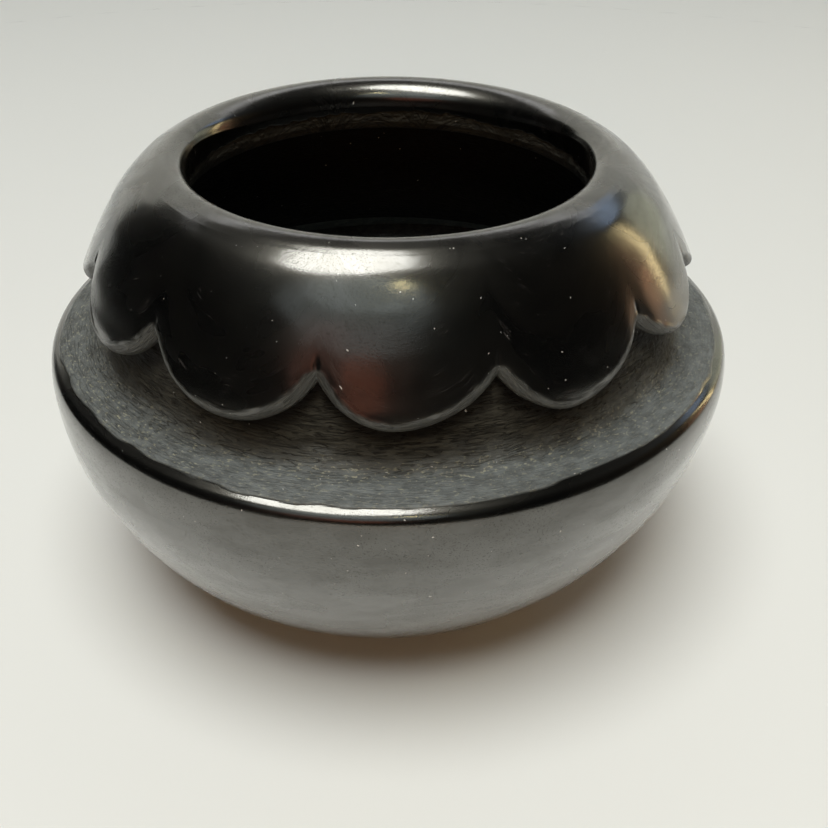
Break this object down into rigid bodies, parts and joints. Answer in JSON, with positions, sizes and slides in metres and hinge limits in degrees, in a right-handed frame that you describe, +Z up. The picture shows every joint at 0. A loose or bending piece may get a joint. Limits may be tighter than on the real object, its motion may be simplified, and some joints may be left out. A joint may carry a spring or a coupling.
{
  "type": "burnished black clay pot",
  "caption": "Round black clay pot with a wide rolled mouth, a burnished scalloped collar, a matte grey recessed ledge and a polished ridge round its belly.",
  "frame": {"origin": "centre of the flat base, on the surface the pot stands on", "axes": "+Z up along the pot's axis; -Y is the side the picture shows, +X its right"},
  "size_m": [0.1388, 0.1388, 0.0956],
  "materials": {
    "burnished_clay": "burnished to a near-mirror gloss, fine scratches",
    "matte_clay": "matte to satin grey-black, turned tool marks"
  },
  "bodies": {
    "root": {"base_slab": "matte_clay", "bowl_wall": "burnished_clay", "shoulder_ring": "burnished_clay", "neck_wall": "matte_clay", "scalloped_collar": "burnished_clay", "rim_coil": "burnished_clay"}
  },
  "joints": []
}
